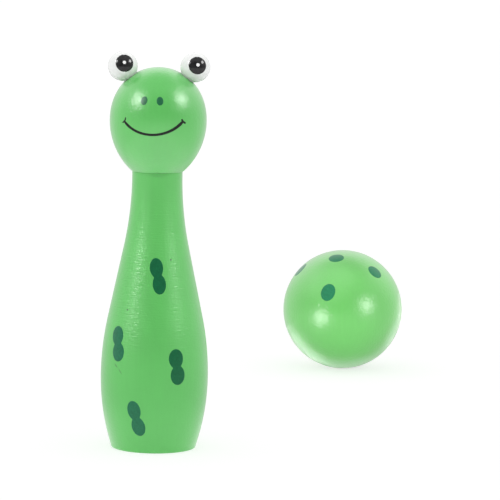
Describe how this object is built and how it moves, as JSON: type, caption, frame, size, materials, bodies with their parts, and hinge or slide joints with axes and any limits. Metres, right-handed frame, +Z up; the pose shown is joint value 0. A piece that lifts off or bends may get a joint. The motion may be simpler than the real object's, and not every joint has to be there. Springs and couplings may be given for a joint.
{
  "type": "kids bowling set",
  "caption": "Small wooden bowling set: a turned frog skittle with bead eyes standing on its flat foot, and a wooden ball that is rolled at it.",
  "frame": {"origin": "centre of the skittle's flat foot, on the floor", "axes": "+Z up the skittle's turning axis, -Y the way its face looks, +X to the right as seen from the front; the ball lies beyond it towards +Y"},
  "size_m": [0.0833, 0.174, 0.1029],
  "materials": {
    "green_lacquer": "turned wood, satin green lacquer",
    "head_lacquer": "turned wood, satin green lacquer",
    "ball_lacquer": "turned wood, satin light green lacquer",
    "white_lacquer": "wooden bead, gloss white lacquer",
    "bare_wood": "bare turned hardwood",
    "green_ink": "printed dark green ink",
    "black_ink": "printed black ink",
    "white_ink": "printed white ink"
  },
  "bodies": {
    "pin": {"pin_body": "green_lacquer", "pin_head": "head_lacquer", "neck_dowel": "bare_wood", "eye_left": "white_lacquer", "eye_right": "white_lacquer", "eye_peg_left": "bare_wood", "eye_peg_right": "bare_wood"},
    "ball": {"ball": "ball_lacquer"}
  },
  "joints": [
    {"name": "ball_roll", "type": "slide", "parent": "pin", "child": "ball", "axis": [-0.342, -0.9397, 0], "range_m": [-0.15, 0.12]}
  ]
}
